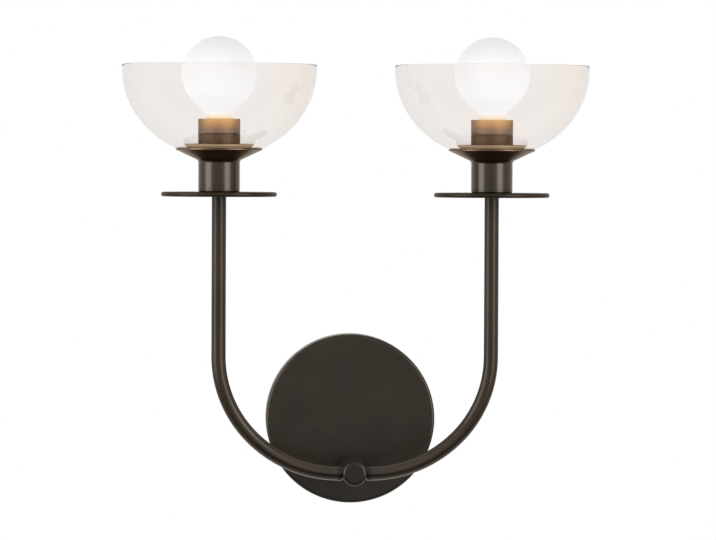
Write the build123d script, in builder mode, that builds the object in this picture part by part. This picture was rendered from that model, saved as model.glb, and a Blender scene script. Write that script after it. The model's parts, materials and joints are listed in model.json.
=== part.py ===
from build123d import *
import os
from math import asin, cos, radians, sin, sqrt

# A double arm wall sconce. A spun round plate hides the outlet box, a standoff carries a
# small hub in front of it, and two bent tubes leave the hub and rise side by side. Each
# tube ends in a flat disc, a flared cup, a screw socket and an open bowl of clear glass
# with a round frosted lamp in it.
#
# Millimetres. The origin is the centre of the plate on the wall, +Z is up, +X is to the
# right for someone who faces the wall, and the room is on the side of -Y.

# ---------------------------------------------------------------- driving dimensions

# wall plate, a spun pan that is open to the wall
PLATE_RADIUS = 69.0
PLATE_DEPTH = 25.0
PLATE_WALL = 1.2
PLATE_INNER_ROUND = 1.2
HUB_INSET = 30.0  # from the plate's lower edge up to the hub's axis

# mounting bar, a flat strip with an ear at each end, screwed to the outlet box
BAR_WIDTH = 19.0
BAR_THICKNESS = 1.6
BAR_EAR = 13.0
BAR_CLEARANCE = 0.6  # between an ear's corners and the inside of the plate
BOX_SCREW_SPACING = 79.4  # slots reach both usual box spacings, 69.9 and 88.9
BOX_SLOT_LENGTH = 14.6
BOX_SLOT_WIDTH = 5.0
BAR_CENTRE_HOLE = 5.2
GROUND_SCREW_X = 23.0
GROUND_SCREW_RADIUS = 2.2
GROUND_HEAD_RADIUS = 4.6
GROUND_HEAD_HEIGHT = 3.0
GROUND_FLANGE_RADIUS = 5.6
GROUND_FLANGE_HEIGHT = 0.9
SET_SCREW_RADIUS = 2.1
SET_SCREW_LENGTH = 6.5
SET_SCREW_DEPTH = 4.6  # from the wall to the set screws' axis, along the ears
SET_SCREW_SUNK = 0.3  # how far the screw's end lies inside the plate's surface
SET_SCREW_RIM = 0.9  # round the corners of its hex socket
HEX_SOCKET_DEPTH = 2.2

# hub and standoff
ARM_STANDOFF = 105.0  # from the wall to the plane of both arms
HUB_RADIUS = 9.7
HUB_NOSE = 10.0
HUB_BACK = 11.0
HUB_ROUND = 2.6
HUB_THREAD = 5.0
STANDOFF_RADIUS = 9.4
STANDOFF_WALL = 1.5

# threaded pipe nipples, their nuts and their washers
NIPPLE_WALL = 1.65
NIPPLE_PLAY = 0.44  # between the four leads and the bore that they pass through
NIPPLE_STICKOUT = 1.5
NUT_RADIUS = 8.1  # to the corners
NUT_HEIGHT = 3.9
WASHER_RADIUS = 8.4
WASHER_THICKNESS = 0.9

# arms
ARM_SPACING = 218.0
ARM_HEIGHT = 220.95  # from the hub's axis up to the underside of the discs
ARM_WALL = 0.8  # round the bore that takes the nipple
ARM_STUB = 0.4  # straight end that stands in the ferrule
BEND_ANGLE = 45.0  # the lower step of each arm's quarter turn
BEND_EASE = 7.0  # how much wider the lower step's radius is than the upper's

# ferrules between the hub and the arms
FERRULE_SPIGOT = 3.6
FERRULE_NECK = 0.5
FERRULE_NECK_WALL = 1.8
FERRULE_FLOOR = 2.0
FERRULE_BEAD = 3.5
FERRULE_BEAD_WALL = 0.4  # round the arm's end
FERRULE_GROOVES = 2
FERRULE_GROOVE = 0.45
FERRULE_GROOVE_DEPTH = 0.35
FERRULE_LAND = 0.5  # before each groove
FERRULE_BORE = 3.4
FERRULE_ROUND = 0.2

# disc under each cup
DISC_RADIUS = 46.2
DISC_THICKNESS = 3.7
DISC_FLAT = 0.3  # what the rounds leave of the rim

# flared cup
CUP_GAP = 0.4  # between the socket and the inside of the cup
CUP_WALL = 1.0
CUP_HEIGHT = 25.2  # from its underside to the foot of the flare
FLARE_RADIUS = 34.6
FLARE_WALL = 0.9
FLARE_EASE = 2.0  # reach of the rounding under the flare's foot
CUP_ROUND = 0.8

# lamp socket
NIPPLE_IN_ARM = 10.0
SOCKET_GAP = 0.85  # from the cup's nut up to the socket's cap
CAP_FLOOR = 2.0
CAP_HEIGHT = 9.7
CAP_WALL = 1.0
SOCKET_WALL = 1.3
SOCKET_NEST = 2.0  # the body's step inside the cap
CAVITY_DEPTH = 31.5
SHELL_WALL = 0.6
SHELL_HEIGHT = 24.0
SHELL_HOLE_CLEARANCE = 1.0  # round the contact strip's corners
LEAD_HOLE_DEPTH = 5.0
SLEEVE_WALL = 1.55
SLEEVE_HEIGHT = 11.8
SLEEVE_LIP = 0.7
SLEEVE_CHAMFER = 0.3
CONTACT_WIDTH = 5.0
CONTACT_LENGTH = 12.0
CONTACT_STRIP = 0.6
CONTACT_RISE = 2.4

# glass bowl and what holds it
BOWL_RADIUS = 77.8
BOWL_DEPTH = 71.4  # from the ellipse's centre down to its lowest point
BOWL_LIP = 3.1  # straight band above that centre
BOWL_WALL = 2.7
BOWL_HOLE_RADIUS = 21.0
BOWL_SEAT = 5.392  # thickness of the flat seat, at the hole's edge
RING_MARGIN = 1.4  # of the ring beyond the gasket
RING_THICKNESS = 1.6
COLLAR_HEIGHT = 8.2
GASKET_THICKNESS = 1.5
GASKET_INSET = 0.4
GASKET_WIDTH = 4.8
PAD_INSET = 1.0
PAD_WIDTH = 6.0
PAD_THICKNESS = 1.055  # at the pad's middle

# lamp
GLOBE_RADIUS = 30.0
GLOBE_WALL = 0.9
GLOBE_TAPER = 45.0  # degrees between the globe's taper and its axis
NECK_LENGTH = 4.3  # straight neck above the base
NECK_ROUND = 5.0
NECK_SEAT = 6.0  # how far the neck reaches into the base
THREAD_RADIUS = 13.0
THREAD_DEPTH = 0.8
THREAD_PITCH = 3.629
THREAD_TURNS = 4
THROAT_HEIGHT = 2.934  # between the thread and the skirt
SKIRT_HEIGHT = 4.6
SKIRT_INSET = 0.1  # inside the thread's crests
SKIRT_ROUND = 0.3
BASE_WALL = 0.85
BASE_FOOT_INSET = 2.6  # of the foot's edge inside the thread's root
BASE_FOOT_WALL = 1.0
BASE_TAPER = 2.2
INSULATOR_HEIGHT = 2.4
CONTACT_BUTTON_RADIUS = 4.6
CONTACT_BUTTON_HEIGHT = 1.3
STEM_FOOT_CLEARANCE = 0.2  # inside the neck
STEM_FOOT_HEIGHT = 3.0
STEM_RADIUS = 3.2
STEM_HEIGHT = 30.0
FILAMENT_RADIUS = 0.9
FILAMENT_INSET = 1.2  # of the filaments' feet inside the stem's foot
FILAMENT_LIFT = 1.8  # of the filaments' feet above the stem's foot
FILAMENT_COUNT = 4

# leads and splices
LEAD_RADIUS = 0.9
LEAD_GAP = 0.9  # between the two leads of one arm
LEAD_TURN = 5.0
LEAD_SLANT = 40.0
LEAD_SLANT_RADIUS = 8.0
SPLICE_OFFSET = 14.0
LEAD_CROSS_GAP = 0.4  # between the pairs where one crosses behind the other
SPLICE_ABOVE_BAR = 3.0
SPLICE_DEPTH = 9.0  # how far the leads reach into a splice
SPLICE_RADIUS = 5.2
SPLICE_TIP_RADIUS = 3.4
SPLICE_LENGTH = 19.0
SPLICE_WALL = 4.0  # closed end

# clearances
FIT = 0.05  # radial, between pieces that are screwed or soldered together
HOLE_CLEARANCE = 0.3  # radial, round a nipple or a screw in a plain hole
LAMP_CLEARANCE = 0.25  # radial, between the lamp's thread and the socket's shell
CONTACT_GAP = 0.2

# ---------------------------------------------------------------- places worked out

hub_z = HUB_INSET - PLATE_RADIUS
plate_inner_radius = PLATE_RADIUS - PLATE_WALL
plate_face_y = -PLATE_DEPTH
plate_inside_y = plate_face_y + PLATE_WALL
arm_y = -ARM_STANDOFF
hub_back_y = arm_y + HUB_BACK

# Four leads pass through the hub's nipple, two abreast and two high. Its bore is sized for
# them, the arms' bore for the nipple, and the ferrules' beads for the arms.
lead_offset = LEAD_RADIUS + LEAD_GAP / 2
nipple_bore = lead_offset * sqrt(2) + LEAD_RADIUS + NIPPLE_PLAY
nipple_radius = nipple_bore + NIPPLE_WALL
arm_radius = nipple_radius + FIT + ARM_WALL
ferrule_radius = arm_radius + FIT + FERRULE_BEAD_WALL
ferrule_neck_radius = FERRULE_BORE + FERRULE_NECK_WALL

hub_nut_y = plate_inside_y + WASHER_THICKNESS
hub_nipple_end_y = hub_nut_y + NUT_HEIGHT + NIPPLE_STICKOUT
ear_x = sqrt((plate_inner_radius - BAR_CLEARANCE) ** 2 - (BAR_WIDTH / 2) ** 2)

ferrule_shoulder_x = HUB_RADIUS + FERRULE_NECK
tube_start_x = ferrule_shoulder_x + FERRULE_FLOOR
bend_start_x = tube_start_x + ARM_STUB
arm_x = ARM_SPACING / 2
bend_cos = cos(radians(BEND_ANGLE))
bend_sin = sin(radians(BEND_ANGLE))
upper_bend = arm_x - bend_start_x - BEND_EASE * bend_sin
lower_bend = upper_bend + BEND_EASE
bend_top_z = hub_z + upper_bend + BEND_EASE * (1 - bend_cos)

# The lamp's thread sizes the socket's shell, the shell its body, and the body the sleeve
# and the cup round it.
shell_outer_radius = THREAD_RADIUS + LAMP_CLEARANCE + SHELL_WALL
socket_radius = shell_outer_radius + FIT + SOCKET_WALL
sleeve_inner_radius = socket_radius + FIT
sleeve_radius = sleeve_inner_radius + SLEEVE_WALL
cup_inner_radius = socket_radius + CUP_GAP
cup_radius = cup_inner_radius + CUP_WALL

disc_bottom_z = hub_z + ARM_HEIGHT
disc_top_z = disc_bottom_z + DISC_THICKNESS
cup_floor_z = disc_top_z + CUP_WALL
cup_nut_z = cup_floor_z + WASHER_THICKNESS
cap_z = cup_nut_z + NUT_HEIGHT + SOCKET_GAP
socket_foot_z = cap_z + CAP_HEIGHT - SOCKET_NEST
arm_nipple_top_z = cap_z + CAP_FLOOR + NIPPLE_STICKOUT

# The bowl's outside is half an ellipse that rests in the mouth of the flare. The share of
# its depth at a radius is how far down the ellipse has come there. The flare's slope leaves
# room for the pad under the bowl.
gasket_inner_radius = BOWL_HOLE_RADIUS + GASKET_INSET
gasket_outer_radius = gasket_inner_radius + GASKET_WIDTH
ring_radius = gasket_outer_radius + RING_MARGIN
pad_inner_radius = BOWL_HOLE_RADIUS + PAD_INSET
pad_outer_radius = pad_inner_radius + PAD_WIDTH
pad_middle_radius = (pad_inner_radius + pad_outer_radius) / 2
hole_share = sqrt(1 - (BOWL_HOLE_RADIUS / BOWL_RADIUS) ** 2)
pad_share = sqrt(1 - (pad_middle_radius / BOWL_RADIUS) ** 2)
seat_share = sqrt(1 - (FLARE_RADIUS / BOWL_RADIUS) ** 2)
pad_drop = BOWL_DEPTH * (pad_share - seat_share) + PAD_THICKNESS
flare_slope = pad_drop / (FLARE_RADIUS - pad_middle_radius)
flare_foot_z = disc_top_z + CUP_HEIGHT
flare_top_z = flare_foot_z + flare_slope * (FLARE_RADIUS - cup_inner_radius)
bowl_centre_z = flare_top_z + FIT + BOWL_DEPTH * seat_share
bowl_foot_z = bowl_centre_z - BOWL_DEPTH * hole_share
bowl_rim_z = bowl_centre_z + BOWL_LIP

# On the bowl's flat seat stand the gasket, the ring with its collar, and the sleeve, whose
# top is the socket's mouth.
gasket_z = bowl_foot_z + BOWL_SEAT
ring_z = gasket_z + GASKET_THICKNESS
collar_bottom_z = ring_z + RING_THICKNESS
sleeve_z = collar_bottom_z + COLLAR_HEIGHT
socket_top_z = sleeve_z + SLEEVE_HEIGHT
cavity_z = socket_top_z - CAVITY_DEPTH
contact_top_z = cavity_z + CONTACT_RISE
lamp_z = contact_top_z + CONTACT_GAP

SIDES = {"left": -1, "right": 1}
FULL_TURN = 360.0
QUARTER_TURN = 90.0

os.makedirs("parts", exist_ok=True)


def save(piece, name):
    """Label a finished piece and write it under its own name."""
    piece.part.label = name
    export_step(piece.part, f"parts/{name}.step")


def stalk_plane(side):
    """Upright plane through one arm's stalk: x is the distance from its axis, y is height."""
    return Plane(origin=(SIDES[side] * arm_x, arm_y, 0), x_dir=(1, 0, 0), z_dir=(0, -1, 0))


def stalk_axis(side):
    """Upright axis of one arm's stalk."""
    return Axis((SIDES[side] * arm_x, arm_y, 0), (0, 0, 1))


def level(side, height):
    """Flat plane across one arm's stalk."""
    return Plane(origin=(SIDES[side] * arm_x, arm_y, height))


# ---------------------------------------------------------------- wall plate and bar

with BuildPart() as backplate:
    with BuildSketch(Plane.XY):
        with BuildLine():
            Polyline(
                (0, plate_face_y),
                (PLATE_RADIUS, plate_face_y),
                (PLATE_RADIUS, 0),
                (plate_inner_radius, 0),
                (plate_inner_radius, plate_inside_y),
                (0, plate_inside_y),
                close=True,
            )
        make_face()
    revolve(axis=Axis.Y)
    front_edges = backplate.edges().filter_by(GeomType.CIRCLE).group_by(Axis.Y)[0]
    fillet(front_edges, radius=PLATE_INNER_ROUND + PLATE_WALL)
    inner_edges = backplate.edges().filter_by(GeomType.CIRCLE).filter_by_position(
        Axis.Y, plate_inside_y - FIT, plate_inside_y + FIT
    )
    fillet(inner_edges, radius=PLATE_INNER_ROUND)
    with BuildSketch(Plane.XZ.offset(PLATE_DEPTH)):
        with Locations((0, hub_z)):
            Circle(nipple_radius + HOLE_CLEARANCE)
    extrude(amount=-PLATE_DEPTH, mode=Mode.SUBTRACT)
    with BuildSketch(Plane.YZ):
        with Locations((-SET_SCREW_DEPTH, 0)):
            Circle(SET_SCREW_RADIUS + HOLE_CLEARANCE)
    extrude(amount=PLATE_RADIUS, both=True, mode=Mode.SUBTRACT)
save(backplate, "backplate")

with BuildPart() as mounting_bar:
    with BuildSketch(Plane.XY):
        with BuildLine():
            Polyline(
                (-ear_x, 0),
                (ear_x, 0),
                (ear_x, -BAR_EAR),
                (ear_x - BAR_THICKNESS, -BAR_EAR),
                (ear_x - BAR_THICKNESS, -BAR_THICKNESS),
                (-ear_x + BAR_THICKNESS, -BAR_THICKNESS),
                (-ear_x + BAR_THICKNESS, -BAR_EAR),
                (-ear_x, -BAR_EAR),
                close=True,
            )
        make_face()
    extrude(amount=BAR_WIDTH / 2, both=True)
    with BuildSketch(Plane.XZ):
        with GridLocations(BOX_SCREW_SPACING, 0, 2, 1):
            SlotOverall(BOX_SLOT_LENGTH, BOX_SLOT_WIDTH)
        Circle(BAR_CENTRE_HOLE)
        with Locations((GROUND_SCREW_X, 0)):
            Circle(GROUND_SCREW_RADIUS + FIT)
    extrude(amount=BAR_THICKNESS, mode=Mode.SUBTRACT)
    with BuildSketch(Plane.YZ):
        with Locations((-SET_SCREW_DEPTH, 0)):
            Circle(SET_SCREW_RADIUS + FIT)
    extrude(amount=PLATE_RADIUS, both=True, mode=Mode.SUBTRACT)
save(mounting_bar, "mounting_bar")

with BuildPart() as ground_screw:
    with BuildSketch(Plane.XZ):
        with Locations((GROUND_SCREW_X, 0)):
            Circle(GROUND_SCREW_RADIUS)
    extrude(amount=BAR_THICKNESS)
    with BuildSketch(Plane.XZ.offset(BAR_THICKNESS)):
        with Locations((GROUND_SCREW_X, 0)):
            Circle(GROUND_FLANGE_RADIUS)
    extrude(amount=GROUND_FLANGE_HEIGHT)
    with BuildSketch(Plane.XZ.offset(BAR_THICKNESS + GROUND_FLANGE_HEIGHT)):
        with Locations((GROUND_SCREW_X, 0)):
            RegularPolygon(GROUND_HEAD_RADIUS, 6)
    extrude(amount=GROUND_HEAD_HEIGHT)
save(ground_screw, "ground_screw")

with BuildPart() as plate_set_screws:
    for side, sign in SIDES.items():
        outer_end = Plane(
            origin=(sign * (PLATE_RADIUS - SET_SCREW_SUNK), -SET_SCREW_DEPTH, 0),
            x_dir=(0, 0, 1),
            z_dir=(-sign, 0, 0),
        )
        with BuildSketch(outer_end):
            Circle(SET_SCREW_RADIUS)
        extrude(amount=SET_SCREW_LENGTH)
        with BuildSketch(outer_end):
            RegularPolygon(SET_SCREW_RADIUS - SET_SCREW_RIM, 6)
        extrude(amount=HEX_SOCKET_DEPTH, mode=Mode.SUBTRACT)
save(plate_set_screws, "plate_set_screws")

# ---------------------------------------------------------------- hub and standoff

with BuildPart() as arm_hub:
    with BuildSketch(Plane.XZ.offset(ARM_STANDOFF - HUB_BACK)):
        with Locations((0, hub_z)):
            Circle(HUB_RADIUS)
    extrude(amount=HUB_BACK + HUB_NOSE)
    fillet(arm_hub.edges().group_by(Axis.Y)[0], radius=HUB_ROUND)
    with BuildSketch(Plane.XZ.offset(ARM_STANDOFF)):
        with Locations((0, hub_z)):
            Circle(nipple_radius + FIT)
    extrude(amount=-HUB_BACK, mode=Mode.SUBTRACT)
    with BuildSketch(Plane.YZ):
        with Locations((arm_y, hub_z)):
            Circle(ferrule_neck_radius + FIT)
    extrude(amount=HUB_RADIUS, both=True, mode=Mode.SUBTRACT)
save(arm_hub, "arm_hub")

with BuildPart() as standoff_tube:
    with BuildSketch(Plane.XZ.offset(PLATE_DEPTH)):
        with Locations((0, hub_z)):
            Circle(STANDOFF_RADIUS)
            Circle(STANDOFF_RADIUS - STANDOFF_WALL, mode=Mode.SUBTRACT)
    extrude(amount=ARM_STANDOFF - HUB_BACK - PLATE_DEPTH)
save(standoff_tube, "standoff_tube")

with BuildPart() as hub_nipple:
    with BuildSketch(Plane.XZ.offset(-hub_nipple_end_y)):
        with Locations((0, hub_z)):
            Circle(nipple_radius)
            Circle(nipple_bore, mode=Mode.SUBTRACT)
    extrude(amount=hub_nipple_end_y - hub_back_y + HUB_THREAD)
save(hub_nipple, "hub_nipple")

with BuildPart() as hub_lock_washer:
    with BuildSketch(Plane.XZ.offset(-plate_inside_y)):
        with Locations((0, hub_z)):
            Circle(WASHER_RADIUS)
            Circle(nipple_radius + HOLE_CLEARANCE, mode=Mode.SUBTRACT)
    extrude(amount=-WASHER_THICKNESS)
save(hub_lock_washer, "hub_lock_washer")

with BuildPart() as hub_hex_nut:
    with BuildSketch(Plane.XZ.offset(-hub_nut_y)):
        with Locations((0, hub_z)):
            RegularPolygon(NUT_RADIUS, 6)
            Circle(nipple_radius + FIT, mode=Mode.SUBTRACT)
    extrude(amount=-NUT_HEIGHT)
save(hub_hex_nut, "hub_hex_nut")

# ---------------------------------------------------------------- arms


def arm_route(side, offset):
    """One arm's centre line, or a line beside it: its points from the ferrule to the top.

    offset is the distance to the inside of the bend. Returns the straight and round
    stretches as a list of point tuples: two points for a line, three for an arc.
    """
    sign = SIDES[side]
    upper = upper_bend - offset
    lower = lower_bend - offset
    lower_centre = (sign * bend_start_x, hub_z + lower_bend)
    upper_centre = (sign * (arm_x - upper_bend), bend_top_z)

    def on(centre, radius, angle):
        turn = radians(angle)
        return (centre[0] + sign * radius * sin(turn), arm_y, centre[1] - radius * cos(turn))

    start = on(lower_centre, lower, 0)
    middle = on(lower_centre, lower, BEND_ANGLE)
    top = on(upper_centre, upper, QUARTER_TURN)
    return [
        (start, on(lower_centre, lower, BEND_ANGLE / 2), middle),
        (middle, on(upper_centre, upper, (BEND_ANGLE + QUARTER_TURN) / 2), top),
    ]


for side, sign in SIDES.items():
    lower_arc, upper_arc = arm_route(side, 0)
    tube_start = (sign * tube_start_x, arm_y, hub_z)
    tube_end = (sign * arm_x, arm_y, disc_bottom_z)
    with BuildPart() as arm_tube:
        with BuildLine() as centre_line:
            Line(tube_start, lower_arc[0])
            ThreePointArc(*lower_arc)
            ThreePointArc(*upper_arc)
            Line(upper_arc[-1], tube_end)
        with BuildSketch(Plane(origin=tube_start, z_dir=(sign, 0, 0))):
            Circle(arm_radius)
            Circle(arm_radius - ARM_WALL, mode=Mode.SUBTRACT)
        sweep(path=centre_line.wire())
    save(arm_tube, f"arm_tube_{side}")

    # The ferrule is turned about the arm's level end: a spigot in the hub, a neck, and a
    # grooved bead whose far side takes the tube.
    ferrule_start_x = HUB_RADIUS - FERRULE_SPIGOT
    bead_end_x = ferrule_shoulder_x + FERRULE_BEAD
    groove_radius = ferrule_radius - FERRULE_GROOVE_DEPTH
    grooves = []
    for groove in range(FERRULE_GROOVES):
        groove_end_x = ferrule_shoulder_x + (groove + 1) * (FERRULE_LAND + FERRULE_GROOVE)
        groove_start_x = groove_end_x - FERRULE_GROOVE
        grooves.append((groove_start_x, ferrule_radius))
        grooves.append((groove_start_x, groove_radius))
        grooves.append((groove_end_x, groove_radius))
        grooves.append((groove_end_x, ferrule_radius))
    with BuildPart() as arm_ferrule:
        with BuildSketch(Plane(origin=(0, arm_y, hub_z), x_dir=(sign, 0, 0), z_dir=(0, -sign, 0))):
            with BuildLine():
                Polyline(
                    (ferrule_start_x, FERRULE_BORE),
                    (ferrule_start_x, ferrule_neck_radius),
                    (ferrule_shoulder_x, ferrule_neck_radius),
                    (ferrule_shoulder_x, ferrule_radius - FERRULE_ROUND),
                    (ferrule_shoulder_x + FERRULE_ROUND, ferrule_radius),
                    *grooves,
                    (bead_end_x - FERRULE_ROUND, ferrule_radius),
                    (bead_end_x, ferrule_radius - FERRULE_ROUND),
                    (bead_end_x, arm_radius + FIT),
                    (tube_start_x, arm_radius + FIT),
                    (tube_start_x, FERRULE_BORE),
                    close=True,
                )
            make_face()
        revolve(axis=Axis((0, arm_y, hub_z), (1, 0, 0)))
    save(arm_ferrule, f"arm_ferrule_{side}")

    with BuildPart() as socket_nipple:
        with BuildSketch(level(side, disc_bottom_z - NIPPLE_IN_ARM)):
            Circle(nipple_radius)
            Circle(nipple_bore, mode=Mode.SUBTRACT)
        extrude(amount=arm_nipple_top_z - disc_bottom_z + NIPPLE_IN_ARM)
    save(socket_nipple, f"socket_nipple_{side}")

# ---------------------------------------------------------------- disc, cup and nuts

# A rounding eases the cup's wall into the underside of the flare. It reaches equally far
# down the wall and out along the underside.
flare_run = FLARE_RADIUS - cup_radius
flare_rise = flare_top_z - FLARE_WALL - flare_foot_z
flare_share = FLARE_EASE / sqrt(flare_run**2 + flare_rise**2)
ease_start = (cup_radius, flare_foot_z - FLARE_EASE)
ease_end = (cup_radius + flare_run * flare_share, flare_foot_z + flare_rise * flare_share)

for side in SIDES:
    with BuildPart() as drip_disc:
        with BuildSketch(level(side, disc_bottom_z)):
            Circle(DISC_RADIUS)
            Circle(nipple_radius + HOLE_CLEARANCE, mode=Mode.SUBTRACT)
        extrude(amount=DISC_THICKNESS)
        rims = drip_disc.edges().filter_by(GeomType.CIRCLE).sort_by(SortBy.RADIUS)[-2:]
        fillet(rims, radius=(DISC_THICKNESS - DISC_FLAT) / 2)
    save(drip_disc, f"drip_disc_{side}")

    with BuildPart() as shade_cup:
        with BuildSketch(stalk_plane(side)):
            with BuildLine():
                Polyline(
                    ease_start,
                    (cup_radius, disc_top_z + CUP_ROUND),
                    (cup_radius - CUP_ROUND, disc_top_z),
                    (nipple_radius + HOLE_CLEARANCE, disc_top_z),
                    (nipple_radius + HOLE_CLEARANCE, cup_floor_z),
                    (cup_inner_radius, cup_floor_z),
                    (cup_inner_radius, flare_foot_z),
                    (FLARE_RADIUS, flare_top_z),
                    (FLARE_RADIUS, flare_top_z - FLARE_WALL),
                    ease_end,
                )
                TangentArc(ease_start, ease_end, tangent=(0, 1))
            make_face()
        revolve(axis=stalk_axis(side))
    save(shade_cup, f"shade_cup_{side}")

with BuildPart() as cup_lock_washers:
    for side in SIDES:
        with BuildSketch(level(side, cup_floor_z)):
            Circle(WASHER_RADIUS)
            Circle(nipple_radius + HOLE_CLEARANCE, mode=Mode.SUBTRACT)
        extrude(amount=WASHER_THICKNESS)
save(cup_lock_washers, "cup_lock_washers")

with BuildPart() as cup_hex_nuts:
    for side in SIDES:
        with BuildSketch(level(side, cup_nut_z)):
            RegularPolygon(NUT_RADIUS, 6)
            Circle(nipple_radius + FIT, mode=Mode.SUBTRACT)
        extrude(amount=NUT_HEIGHT)
save(cup_hex_nuts, "cup_hex_nuts")

# ---------------------------------------------------------------- lamp sockets

nest_radius = socket_radius - CAP_WALL - FIT
body_top_z = socket_top_z - SLEEVE_LIP
strip_end = CONTACT_LENGTH / 2
shell_hole_radius = sqrt(strip_end**2 + (CONTACT_WIDTH / 2) ** 2) + SHELL_HOLE_CLEARANCE

for side, sign in SIDES.items():
    with BuildPart() as socket_cap:
        with BuildSketch(stalk_plane(side)):
            with BuildLine():
                Polyline(
                    (nipple_radius + FIT, cap_z),
                    (socket_radius, cap_z),
                    (socket_radius, cap_z + CAP_HEIGHT),
                    (socket_radius - CAP_WALL, cap_z + CAP_HEIGHT),
                    (socket_radius - CAP_WALL, cap_z + CAP_FLOOR),
                    (nipple_radius + FIT, cap_z + CAP_FLOOR),
                    close=True,
                )
            make_face()
        revolve(axis=stalk_axis(side))
    save(socket_cap, f"socket_cap_{side}")

    with BuildPart() as socket_body:
        with BuildSketch(level(side, socket_foot_z)):
            Circle(nest_radius)
        extrude(amount=SOCKET_NEST)
        with BuildSketch(level(side, socket_foot_z + SOCKET_NEST)):
            Circle(socket_radius)
        extrude(amount=body_top_z - socket_foot_z - SOCKET_NEST)
        with BuildSketch(level(side, cavity_z)):
            Circle(shell_outer_radius + FIT)
        extrude(amount=CAVITY_DEPTH, mode=Mode.SUBTRACT)
        with BuildSketch(level(side, socket_foot_z)):
            with GridLocations(2 * lead_offset, 0, 2, 1):
                Circle(LEAD_RADIUS + FIT)
        extrude(amount=LEAD_HOLE_DEPTH, mode=Mode.SUBTRACT)
    save(socket_body, f"socket_body_{side}")

    shell_top_z = cavity_z + SHELL_WALL + SHELL_HEIGHT
    with BuildPart() as socket_shell:
        with BuildSketch(stalk_plane(side)):
            with BuildLine():
                Polyline(
                    (shell_hole_radius, cavity_z),
                    (shell_outer_radius, cavity_z),
                    (shell_outer_radius, shell_top_z),
                    (shell_outer_radius - SHELL_WALL, shell_top_z),
                    (shell_outer_radius - SHELL_WALL, cavity_z + SHELL_WALL),
                    (shell_hole_radius, cavity_z + SHELL_WALL),
                    close=True,
                )
            make_face()
        revolve(axis=stalk_axis(side))
    save(socket_shell, f"socket_shell_{side}")

    # A springy strip, riveted flat at one end and raised to meet the lamp's contact.
    with BuildPart() as socket_contact:
        with BuildSketch(stalk_plane(side)):
            with BuildLine():
                Polyline(
                    (-strip_end, cavity_z),
                    (-strip_end / 2, cavity_z),
                    (0, contact_top_z - CONTACT_STRIP),
                    (strip_end / 2, contact_top_z - CONTACT_STRIP),
                    (strip_end / 2, contact_top_z),
                    (-CONTACT_STRIP / 2, contact_top_z),
                    (-strip_end / 2 - CONTACT_STRIP / 2, cavity_z + CONTACT_STRIP),
                    (-strip_end, cavity_z + CONTACT_STRIP),
                    close=True,
                )
            make_face()
        extrude(amount=CONTACT_WIDTH / 2, both=True)
    save(socket_contact, f"socket_contact_{side}")

    with BuildPart() as socket_sleeve:
        with BuildSketch(stalk_plane(side)):
            with BuildLine():
                Polyline(
                    (sleeve_inner_radius, sleeve_z),
                    (sleeve_radius - SLEEVE_CHAMFER, sleeve_z),
                    (sleeve_radius, sleeve_z + SLEEVE_CHAMFER),
                    (sleeve_radius, socket_top_z - SLEEVE_CHAMFER),
                    (sleeve_radius - SLEEVE_CHAMFER, socket_top_z),
                    (shell_outer_radius, socket_top_z),
                    (shell_outer_radius, body_top_z),
                    (sleeve_inner_radius, body_top_z),
                    close=True,
                )
            make_face()
        revolve(axis=stalk_axis(side))
    save(socket_sleeve, f"socket_sleeve_{side}")

    with BuildPart() as shade_ring:
        with BuildSketch(stalk_plane(side)):
            with BuildLine():
                Polyline(
                    (sleeve_inner_radius, ring_z),
                    (ring_radius, ring_z),
                    (ring_radius, collar_bottom_z),
                    (sleeve_radius, collar_bottom_z),
                    (sleeve_radius, sleeve_z - SLEEVE_CHAMFER),
                    (sleeve_radius - SLEEVE_CHAMFER, sleeve_z),
                    (sleeve_inner_radius, sleeve_z),
                    close=True,
                )
            make_face()
        revolve(axis=stalk_axis(side))
    save(shade_ring, f"shade_ring_{side}")

# ---------------------------------------------------------------- glass bowls

inner_bowl_radius = BOWL_RADIUS - BOWL_WALL
inner_bowl_depth = BOWL_DEPTH - BOWL_WALL
lip_round = BOWL_WALL / 2
lip_z = bowl_rim_z - lip_round
seat_edge_share = (bowl_centre_z - gasket_z) / inner_bowl_depth
seat_edge_radius = inner_bowl_radius * sqrt(1 - seat_edge_share**2)

# The pad's top follows the tangent to the bowl's outside at the pad's middle.
pad_slope = BOWL_DEPTH * pad_middle_radius / (BOWL_RADIUS**2 * pad_share)
pad_middle_z = bowl_centre_z - BOWL_DEPTH * pad_share - FIT


def pad_top(radius):
    """Height of the pad's top at one radius."""
    return pad_middle_z + pad_slope * (radius - pad_middle_radius)


def flare_inside(radius):
    """Height of the flare's upper face at one radius."""
    return flare_top_z - flare_slope * (FLARE_RADIUS - radius)


def bowl_arc(radius, depth, start_radius):
    """Add one side of the bowl's ellipse, from a radius near its bottom to its full width.

    It is a conic curve, whose middle point is where the tangents at both ends meet.
    """
    start = asin(start_radius / radius)
    half = (radians(QUARTER_TURN) - start) / 2
    foot = (start_radius, bowl_centre_z - depth * cos(start))
    corner_radius = radius * sin(start + half) / cos(half)
    corner_z = bowl_centre_z - depth * cos(start + half) / cos(half)
    weights = (1, cos(half), 1)
    return Bezier(foot, (corner_radius, corner_z), (radius, bowl_centre_z), weights=weights)


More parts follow.
